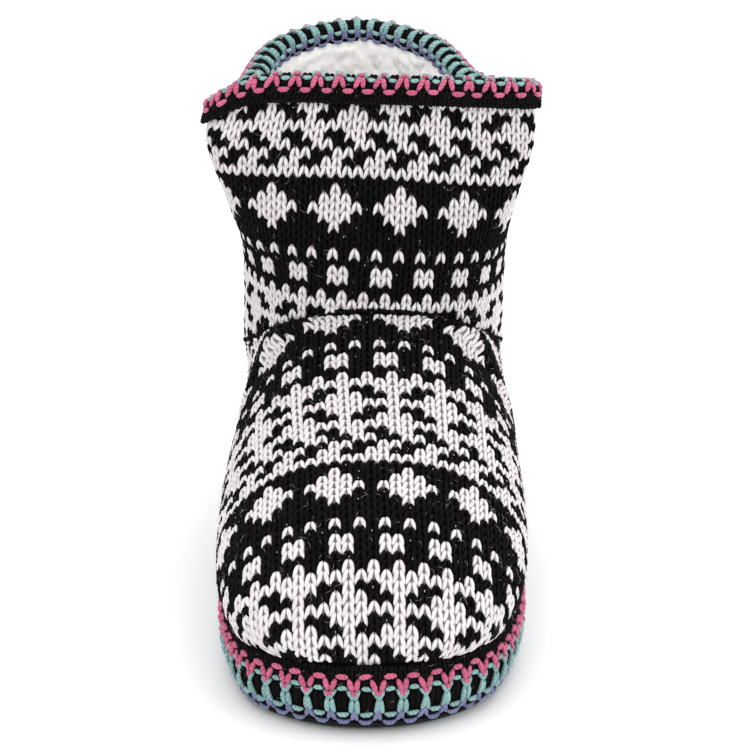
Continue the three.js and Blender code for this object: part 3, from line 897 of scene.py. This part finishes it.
def footMiddleLine(grid):
    return grid * np.array([0, 0.93, 0]) + np.array([0, 0, 1]) * np.minimum(grid[..., 2:], 40)


def shaftMiddleLine(grid):
    return grid * np.array([0, 0, 1]) + np.array([0, 45, 0])


ground = {"rise": 28, "skirt": (5, 15, 3), "shares": 90, "levels": 26, "belowSeam": 1.5}


# Ground behind the stitches, and the wall of the boot down to its lining
def makeGround():
    pile = Pile()
    depths = (knit["groundDepth"], boot["wall"])
    rows = np.arange(-boot["heelRows"], 47)
    for side in (1, -1):
        grid = footPoint(rows[:, None], side, np.linspace(1, 0, ground["rise"])[None, :])
        skirt = grid[:, -1:] - np.array([0, 0, 1]) * np.linspace(*ground["skirt"])[None, :, None]
        grid = np.concatenate([grid, skirt], axis=1)
        addSlab(pile, grid, gridNormals(grid, footMiddleLine(grid)), depths, flip=side < 0, innerMark=1)
    shares = np.arange(ground["shares"]) / ground["shares"]
    levels = np.linspace(0, 1, ground["levels"])[:, None]
    height = lerp(collarHeight(shares)[None], seamHeight(shares)[None] - ground["belowSeam"], levels)
    grid = shaftPoint(np.broadcast_to(shares, height.shape), height)
    normals = gridNormals(grid, shaftMiddleLine(grid), wrap=True)
    addSlab(pile, grid, normals, depths, wrap=True, innerMark=1)
    pile.build("upper_ground", "knit", "blackGround", "fleece", replaced=("upper",))


seam = {"along": np.array([0, 0.22, 0.5, 0.78, 1.0]), "thick": np.array([0, 0.8, 1, 0.8, 0]), "sides": 6}
ankle = {"stitches": 96, "slant": 1.5, "top": 0.3, "drop": 1.7, "uneven": 0.12, "middle": 50,
         "rise": 0.55, "sink": 0.25, "wide": 0.75, "high": 0.6}


# Overcast stitches of black yarn that join the shaft to the foot piece
def makeAnkleSeam():
    random = np.random.default_rng(seed + 6)
    count = ankle["stitches"]
    t, thick = seam["along"], seam["thick"]
    share = np.arange(count)[:, None] / count + (t * ankle["slant"])[None] / count
    uneven = random.normal(0, ankle["uneven"], (count, 1))
    point = shaftPoint(share, seamLine(share) + ankle["top"] - ankle["drop"] * t + uneven)
    out = unit(point * np.array([1, 1, 0]) - np.array([0, ankle["middle"], 0]))
    path = point + out * (ankle["rise"] * np.sin(np.pi * t) - ankle["sink"])[None, :, None]
    pile = Pile()
    addStrands(pile, path, out, ankle["wide"] * thick, ankle["high"] * thick, seam["sides"], random)
    pile.build("ankle_seam", "knit", "blackYarn")


cross = {"stitches": 24, "heelStitches": 13, "belowCollar": 7, "half": 1.2, "uneven": 0.1, "rise": 0.7,
         "sink": 0.1, "wide": 0.6, "high": 0.5}


# Black cross stitches down the middle of the back, where the knit of both sides meets
def makeBackSeam():
    random = np.random.default_rng(seed + 9)
    top = collarHeight(np.array(0.5)) - cross["belowCollar"]
    upper = np.linspace(top, seamHeight(0.5), cross["stitches"])
    share = 0.5 + knit["waleLean"] * (upper - knit["leanHeight"]) / shaftLength
    heel = footPoint(-boot["heelRows"], 1, np.linspace(0.96, 0, cross["heelStitches"]))
    line = np.concatenate([shaftPoint(share, upper), heel])
    count = len(line) - 1
    t, thick = seam["along"], seam["thick"]
    pile = Pile()
    back = np.broadcast_to(np.array([0, 1.0, 0]), (count, len(t), 3))
    for side in (-1, 1):
        path = lerp(line[:-1, None], line[1:, None], t[None, :, None])
        slip = random.normal(0, cross["uneven"], (count, 1))
        path[..., 0] += side * (2 * cross["half"] * t - cross["half"]) + slip
        path[..., 1] += cross["rise"] * np.sin(np.pi * t) - cross["sink"]
        addStrands(pile, path, back, cross["wide"] * thick, cross["high"] * thick, seam["sides"], random)
    pile.build("back_seam", "knit", "blackYarn")


makeKnit()
makeGround()
makeAnkleSeam()
makeBackSeam()
print("knit ready")


# Crochet tape: one loop of each yarn, repeated round the sole and the collar. A loop is drawn 8 wide;
# its first numbers count along the edge from its middle, the second ones from the tape's plain edge
tape = {
    "width": 19.0,
    "loopWidth": 8.0,
    "solePitch": 7.3,
    "collarPitch": 6.65,
    "soleTop": 21.1,
    "soleStretch": 1.05,
    "soleInset": 1.7,
    "soleBulge": 0.9,
    "soleTuck": 1.8,  # how far its lower edge turns in under the boot
    "collarStart": 8.75,
    "collarStretch": 0.95,
    "collarFirst": -1.8,  # the plain edge is wider on the collar
    "collarSlant": 0.28,
    "slantEnd": 7.4,
    "collarOver": 3.5,  # radius of the fold over the collar's edge
    "jitter": 0.16,
    "skew": 0.3,
    "ground": 1.2,
    "groundTop": 0.15,
    "roundOff": 12,  # passes that even out the rim's way out
    "along": np.array([0, 0.1, 0.32, 0.68, 0.9, 1.0]),
    "thick": np.array([0, 0.62, 1.0, 1.0, 0.62, 0]),
    "high": 0.85,  # a yarn's height to its width
    "rise": 0.35,
    "unevenLift": 0.08,
    "wave": 0.45,
    "shares": 240,
    "steps": 26,
}

tapeLoop = [  # yarn, from, to, bow to the side, thickness, lift
    ("pink", (-2.3, 3.2), (2.3, 3.2), -0.35, 0.88, 0.55),
    ("pink", (-1.9, 3.6), (-3.5, 7.3), 0.1, 0.88, 0.45),
    ("pink", (1.9, 3.6), (3.5, 7.3), -0.1, 0.88, 0.55),
    ("pink", (2.55, 7.4), (5.45, 7.4), 0.4, 0.76, 0.65),
    ("teal", (-1.8, 6.7), (1.8, 6.7), -0.5, 0.74, 0.40),
    ("teal", (-1.7, 7.0), (-4.2, 10.0), 0.3, 0.72, 0.45),
    ("teal", (1.7, 7.0), (4.2, 10.0), -0.3, 0.72, 0.35),
    ("teal", (-3.3, 9.3), (-2.7, 14.3), 0.3, 0.84, 0.50),
    ("teal", (3.3, 9.3), (2.7, 14.3), -0.3, 0.84, 0.50),
    ("teal", (-2.3, 14.2), (2.3, 14.2), 0.5, 0.76, 0.60),
    ("lilac", (-4.0, 12.8), (-2.5, 17.0), 0.25, 0.74, 0.20),
    ("lilac", (4.0, 12.8), (2.5, 17.0), -0.25, 0.74, 0.20),
    ("lilac", (-2.7, 16.6), (2.7, 16.6), 1.1, 0.7, 0.35),
    ("lilac", (2.9, 15.4), (5.1, 15.4), -0.9, 0.5, 0.10),
    ("black", (-0.8, 7.0), (-0.8, 14.0), 0.1, 0.85, -0.35),
    ("black", (0.8, 7.0), (0.8, 14.0), -0.1, 0.85, -0.35),
    ("black", (-2.4, 15.6), (2.4, 15.6), 0.5, 0.75, -0.3),
    ("black", (-1.6, 5.0), (1.6, 5.0), -0.2, 0.85, -0.2),
    ("black", (2.7, 4.6), (5.3, 4.6), 0.2, 0.85, -0.1),
]
plainEdge = {"stitches": 5, "step": 1.3, "reach": 1.95, "end": 3.0, "thick": 0.78, "lean": 0.3, "lift": 0.0}


def soleTapePoint(share, down):
    level = down / tape["width"]
    inset = tape["soleInset"] + tape["soleBulge"] * (2 * level - 1) ** 2
    inset = inset + tape["soleTuck"] * smooth(2 * level - 1)
    height = np.maximum(tape["soleTop"] - tape["soleStretch"] * down, 0.5)
    normal = outlineNormal(share)
    return outlinePoint(share, 0.0, height) - normal * inset[..., None], normal


rimShares = np.linspace(0, 1, 721)
rimPoints = shaftPoint(rimShares, collarHeight(rimShares))
rimAlong = np.roll(rimPoints[:-1], -1, axis=0) - np.roll(rimPoints[:-1], 1, axis=0)
rimOut = evenOut(unit(outward(rimAlong)), 0, tape["roundOff"])
rimOut = np.vstack([rimOut, rimOut[:1]])


def rimAt(share):
    share = np.mod(share, 1)
    return readLine(share, rimShares, rimPoints), unit(readLine(share, rimShares, rimOut))


# The tape goes up the outside of the collar, over its edge and down the inside
def collarTapePoint(share, down):
    share, down = np.broadcast_arrays(share, down)
    over = tape["collarOver"]
    way = tape["collarStart"] - tape["collarStretch"] * down
    quarter = over * np.pi / 2
    angle = np.clip(way / over, -np.pi / 2, np.pi / 2)
    below = np.maximum(np.abs(way) - quarter, 0)
    point, out = rimAt(share)
    height = point[..., 2] - boot["wall"] / 2 - below
    middle = shaftPoint(share, height) - out * (boot["wall"] / 2)
    middle[..., 2] = height
    up = np.array([0, 0, 1.0])
    normal = out * np.sin(angle)[..., None] + up * np.cos(angle)[..., None]
    return middle + normal * over, normal


def addTape(surface, length, pitch, first, slant, piles, random):
    count = int(round(length / pitch))
    loops = np.arange(count)
    skew = random.normal(0, tape["skew"], count)
    t = tape["along"]

    def strand(yarn, start, end, bow, thick, lift, sides=6):
        a = np.array(start) + random.normal(0, tape["jitter"], (count, 2))
        b = np.array(end) + random.normal(0, tape["jitter"], (count, 2))
        side = np.stack([-(b - a)[:, 1], (b - a)[:, 0]], axis=1)
        side = side / np.linalg.norm(side, axis=1, keepdims=True)
        bend = (4 * t * (1 - t))[None, :, None] * bow
        places = lerp(a[:, None], b[:, None], t[None, :, None]) + side[:, None] * bend
        x = places[..., 0] + skew[:, None] * np.sin(places[..., 1] * tape["wave"])
        x = x + slant * np.minimum(places[..., 1] - tape["slantEnd"], 0)
        share = (loops[:, None] + x / tape["loopWidth"]) / count
        point, normal = surface(share, places[..., 1])
        raised = lift + tape["rise"] * np.sin(np.pi * t) + random.normal(0, tape["unevenLift"], (count, 1))
        wide, high = thick * tape["thick"], thick * tape["high"] * tape["thick"]
        addStrands(piles[yarn], point + normal * raised[..., None], normal, wide, high, sides, random)

    for part in tapeLoop:
        strand(*part)
    wide = tape["loopWidth"] / plainEdge["stitches"]
    for top in np.arange(first, plainEdge["end"], plainEdge["step"]):
        for k in range(plainEdge["stitches"]):
            lean = plainEdge["lean"] * (1 if k % 2 else -1)
            strand("black", (k * wide - lean, top), (k * wide + lean, top + plainEdge["reach"]), 0.0,
                   plainEdge["thick"], plainEdge["lift"], 4)


def tapeGround(name, surface, first, hidden):
    pile = Pile()
    share = np.arange(tape["shares"])[None, :] / tape["shares"]
    down = np.linspace(first + 0.2, tape["width"] - 0.8, tape["steps"])[:, None]
    addSlab(pile, *surface(*np.broadcast_arrays(share, down)), (tape["groundTop"], tape["ground"]), wrap=True)
    pile.build(name, "tape", "blackGround", replaced=(hidden,))


def makeTapes():
    random = np.random.default_rng(seed + 2)
    slots = {"pink": "pink_yarn", "teal": "teal_yarn", "lilac": "lilac_yarn", "black": "tape"}
    for place, surface, length, pitch, first, slant in (
        ("sole", soleTapePoint, outline.length, tape["solePitch"], 0, 0),
        ("collar", collarTapePoint, ringPaths[-1].length, tape["collarPitch"], tape["collarFirst"],
         tape["collarSlant"]),
    ):
        piles = {yarn: Pile() for yarn in slots}
        addTape(surface, length, pitch, first, slant, piles, random)
        for yarn, pile in piles.items():
            cords = () if yarn == "black" else (f"{place}_cord_{yarn}",)
            pile.build(f"{place}_crochet_{yarn}", slots[yarn], yarn + "Yarn", replaced=cords)
    tapeGround("sole_tape", soleTapePoint, 0, "sole_band")
    tapeGround("collar_tape", collarTapePoint, tape["collarFirst"], "collar_binding")


makeTapes()
print("crochet tapes ready")


# Loose hairs of the yarn, lying over the knit and over both tapes
hairs = {"foot": 1300, "shaft": 800, "sole": 260, "collar": 200, "thick": 0.034, "short": 1.5, "long": 5.0,
         "above": 0.75, "aboveChange": (0.5, 1.3), "tips": 0.35, "curl": 0.9, "wave": 0.5, "stations": 5,
         "footPitch": 3.2, "shaftPitch": 3.0, "tapeDown": 14}


def hairPaths(count, random):
    t = np.linspace(0, 1, hairs["stations"])[None]
    length = random.uniform(hairs["short"], hairs["long"], (count, 1))
    turn = random.uniform(0, 2 * np.pi, (count, 1))
    bend = random.normal(0, hairs["curl"], (count, 1))
    way = turn + bend * (t - 0.5) + hairs["wave"] * np.sin(t * 7 + turn)
    across, down = (np.cumsum(part(way), axis=1) * length / hairs["stations"] for part in (np.cos, np.sin))
    above = hairs["above"] * random.uniform(*hairs["aboveChange"], (count, 1))
    return across, down, above * (hairs["tips"] + np.sin(np.pi * t))


def addHairs(pile, count, place, random):
    across, down, above = hairPaths(count, random)
    point, normal = place(across, down)
    path = point + normal * above[..., None]
    addStrands(pile, path, normal, hairs["thick"], hairs["thick"], 3, random)


def makeHairs():
    random = np.random.default_rng(seed + 8)
    pile = Pile()
    for cloth, stitches, count, pitch in (
        (footCloth, footStitches(), hairs["foot"], hairs["footPitch"]),
        (shaftCloth, shaftStitches(), hairs["shaft"], hairs["shaftPitch"]),
    ):
        pick = random.integers(0, len(stitches[0]), count)
        r, c, width = (values[pick][:, None] for values in stitches[:3])
        addHairs(pile, count, lambda across, down: cloth.read(r + down / pitch, c + across / width), random)
    for surface, length, count in (
        (soleTapePoint, outline.length, hairs["sole"]),
        (collarTapePoint, ringPaths[-1].length, hairs["collar"]),
    ):
        share, low = random.random((count, 1)), random.uniform(0, hairs["tapeDown"], (count, 1))
        addHairs(pile, count, lambda across, down: surface(share + across / length, low + down * 0.5), random)
    pile.build("yarn_hairs", "knit", "hair")


makeHairs()
print("hairs ready")


# Fleece: curls in two sizes, standing off the inside of the wall and off the footbed
fleece = {"curl": 4.0, "curlHeight": 2.2, "small": 1.9, "smallHeight": 0.9, "base": 1.2, "grid": 1.05,
          "belowCollar": 3.6, "belowSeam": 4, "depth": 100, "taper": 4, "taperFrom": 0.45, "gap": 0.05,
          "footShare": 0.8, "roundOff": 8, "shift": (0.1, 0.9), "size": (0.7, 1.15), "tall": (0.6, 1.1),
          "reach": 0.9, "footAround": 300, "footRow": 3.2, "footRise": 75, "footStep": 0.8}


def curls(u, v, pitch, around, random):
    columns = max(1, int(round(around / pitch)))
    rows = int(np.ceil((v.max() - v.min()) / pitch)) + 3
    shift = random.uniform(*fleece["shift"], (rows, columns, 2))
    size = random.uniform(*fleece["size"], (rows, columns))
    tall = random.uniform(*fleece["tall"], (rows, columns))
    x = u / around * columns
    y = (v - v.min()) / pitch + 1
    best = np.zeros(u.shape)
    for dy in (-1, 0, 1):
        for dx in (-1, 0, 1):
            column = np.floor(x).astype(int) + dx
            row = np.clip(np.floor(y).astype(int) + dy, 0, rows - 1)
            column = np.mod(column, columns)
            spot = shift[row, column]
            away = np.hypot(x - np.floor(x) - dx - spot[..., 0], y - row - spot[..., 1])
            dome = np.sqrt(np.maximum(0, 1 - (away / size[row, column] / fleece["reach"]) ** 2))
            best = np.maximum(best, dome * tall[row, column])
    return best


def pileHeight(u, v, around, random):
    wavyU = u + 0.7 * np.sin(v * 1.3) + 0.4 * np.sin(v * 0.37 + u * 0.2)
    wavyV = v + 0.7 * np.sin(u * 1.1)
    big = curls(wavyU, wavyV, fleece["curl"], around, random)
    small = curls(wavyU + 0.5 * np.sin(v * 2), wavyV, fleece["small"], around, random)
    return fleece["base"] + fleece["curlHeight"] * big + fleece["smallHeight"] * small * (0.3 + 0.7 * big)


def makeShaftFleece():
    random = np.random.default_rng(seed + 3)
    count = int(shaftLength / fleece["grid"])
    shares = np.arange(count) / count
    top = collarHeight(shares) - fleece["belowCollar"]
    levels = np.linspace(0, 1, int(fleece["depth"] / fleece["grid"]))[:, None]
    height = lerp(top[None], seamHeight(shares)[None] - fleece["belowSeam"], levels)
    share = np.broadcast_to(shares, height.shape)
    grid = shaftPoint(share, height)
    across = np.roll(grid, -2, axis=1) - np.roll(grid, 2, axis=1)
    normals = evenOut(outward(across), 1, fleece["roundOff"])
    rise = pileHeight(share * shaftLength, height, shaftLength, random)
    full = smooth((top[None] - height) / fleece["taper"])
    full = fleece["taperFrom"] + (1 - fleece["taperFrom"]) * full
    pile = Pile()
    addSlab(pile, grid, normals, (boot["wall"] + fleece["gap"], boot["wall"] + rise * full), wrap=True)
    pile.build("shaft_fleece", "fleece", "fleece")


def makeFootFleece():
    random = np.random.default_rng(seed + 4)
    rise = np.linspace(0.97, 0, 44)[None]
    for part, first, last in (("toe", 1, 45.1), ("heel", -boot["heelRows"], -11)):
        rows = np.arange(first, last, fleece["footStep"])
        for side, name in ((1, "outer"), (-1, "inner")):
            grid = footPoint(rows[:, None], side, rise)
            u, v = np.broadcast_arrays(rows[:, None] * fleece["footRow"], (1 - rise) * fleece["footRise"])
            height = pileHeight(u - u.min(), v, fleece["footAround"], random) * fleece["footShare"]
            depths = (boot["wall"] + fleece["gap"], boot["wall"] + height)
            pile = Pile()
            addSlab(pile, grid, gridNormals(grid, footMiddleLine(grid)), depths, flip=side < 0)
            pile.build(f"{name}_{part}_fleece", "fleece", "fleece")


def makeFootbed():
    random = np.random.default_rng(seed + 5)
    steps = np.linspace(0.004, 0.996, 160)
    inset = boot["footInset"] + boot["wall"] + 0.6
    outer = outlinePoint(steps * heelShare, inset, 0)
    inner = outlinePoint(-steps * (1 - heelShare), inset, 0)
    top = lerp(outer[:, None], inner[:, None], np.linspace(0, 1, 56)[None, :, None])
    bottom = top.copy()
    base = soleLift(top[..., 0], top[..., 1]) + boot["outsole"]
    rise = pileHeight(top[..., 0] + 60, top[..., 1], fleece["footAround"], random)
    top[..., 2] = base + boot["insole"] + rise
    bottom[..., 2] = base + 0.3
    pile = Pile()
    addSides(pile, top, bottom)
    pile.build("footbed_fleece", "fleece", "fleece", replaced=("insole",))


makeShaftFleece()
makeFootFleece()
makeFootbed()
print("fleece ready")

# Outsole: it lies inside the tape, with a rounded edge and fine grip dots underneath
plate = {"inset": 5.5, "round": 1.4, "shares": 200, "rings": 14, "thin": 0.2, "middle": 0.94}


def makeOutsole():
    shares = np.arange(plate["shares"]) / plate["shares"]
    turn = np.linspace(0, np.pi / 2, 5)
    edge = np.stack([outlinePoint(shares, plate["inset"] + plate["round"] * (1 - math.sin(angle)),
                                  plate["round"] * (1 - math.cos(angle))) for angle in turn])
    top = outlinePoint(shares, plate["inset"], boot["outsole"])[None]
    middle = edge[0] * np.array([0, plate["middle"], 0])
    bottom = lerp(middle[None], edge[0][None], np.linspace(0, 1, plate["rings"])[:-1, None, None])
    bottom[..., 2] = soleLift(bottom[..., 0], bottom[..., 1])
    outer = np.concatenate([bottom, edge, top])[::-1]
    inner = outer.copy()
    upper = boot["outsole"] - plate["thin"] + soleLift(outer[..., 0], outer[..., 1])
    inner[..., 2] = np.maximum(outer[..., 2], upper)
    pile = Pile()
    addSides(pile, outer, inner, wrap=True)
    pile.build("sole_plate", "sole", "sole", replaced=("outsole",))


makeOutsole()
print("outsole ready")


# Camera at the height and slope of the photo
view = {"back": -775, "height": 329, "slope": 18.61, "focal": 2487, "picture": 750}


def makeCamera():
    camera = bpy.data.cameras.new("camera")
    camera.sensor_width = 36
    camera.lens = camera.sensor_width * view["focal"] / view["picture"]
    camera.clip_end = 50
    holder = addObject("camera", camera)
    holder.location = (boot["sideShift"] * mm, view["back"] * mm, view["height"] * mm)
    holder.rotation_euler = (math.radians(90 - view["slope"]), 0, 0)
    bpy.context.scene.camera = holder


makeCamera()


# Pale floor and soft studio light
studio = {
    "floor": (0.93, 0.93, 0.93, 1),
    "floorSize": 12,
    "world": 0.9,
    "aim": (0, 0, 0.08),
    "lights": [  # name, place, size, power
        ("keyLight", (-0.9, -1.1, 1.6), 1.4, 8.5),
        ("fillLight", (1.3, -0.9, 1.0), 1.6, 9),
        ("topLight", (0.1, 0.3, 1.9), 1.6, 12.5),
        ("backLight", (0.3, 1.6, 1.1), 1.2, 6),
        ("frontLight", (0.1, -1.5, 1.1), 0.9, 3.5),
    ],
}


def makeStudio():
    half = studio["floorSize"] / 2
    mesh = bpy.data.meshes.new("floor")
    corners = [(x * half, y * half, 0) for x, y in ((-1, -1), (1, -1), (1, 1), (-1, 1))]
    mesh.from_pydata(corners, [], [(0, 1, 2, 3)])
    material, tree, shader = principled("floorPaper", 0.9)
    shader.inputs["Base Color"].default_value = studio["floor"]
    mesh.materials.append(material)
    addObject("floor", mesh)
    world = bpy.data.worlds.new("studio")
    world.use_nodes = True
    background = world.node_tree.nodes["Background"]
    background.inputs["Color"].default_value = (1, 1, 1, 1)
    background.inputs["Strength"].default_value = studio["world"]
    bpy.context.scene.world = world
    bpy.context.scene.view_settings.view_transform = "Standard"
    for name, place, size, power in studio["lights"]:
        data = bpy.data.lights.new(name, "AREA")
        data.size = size
        data.energy = power
        lamp = addObject(name, data)
        lamp.location = place
        lamp.rotation_euler = (Vector(studio["aim"]) - lamp.location).to_track_quat("-Z", "Y").to_euler()


makeStudio()
print("camera, floor and lights ready")
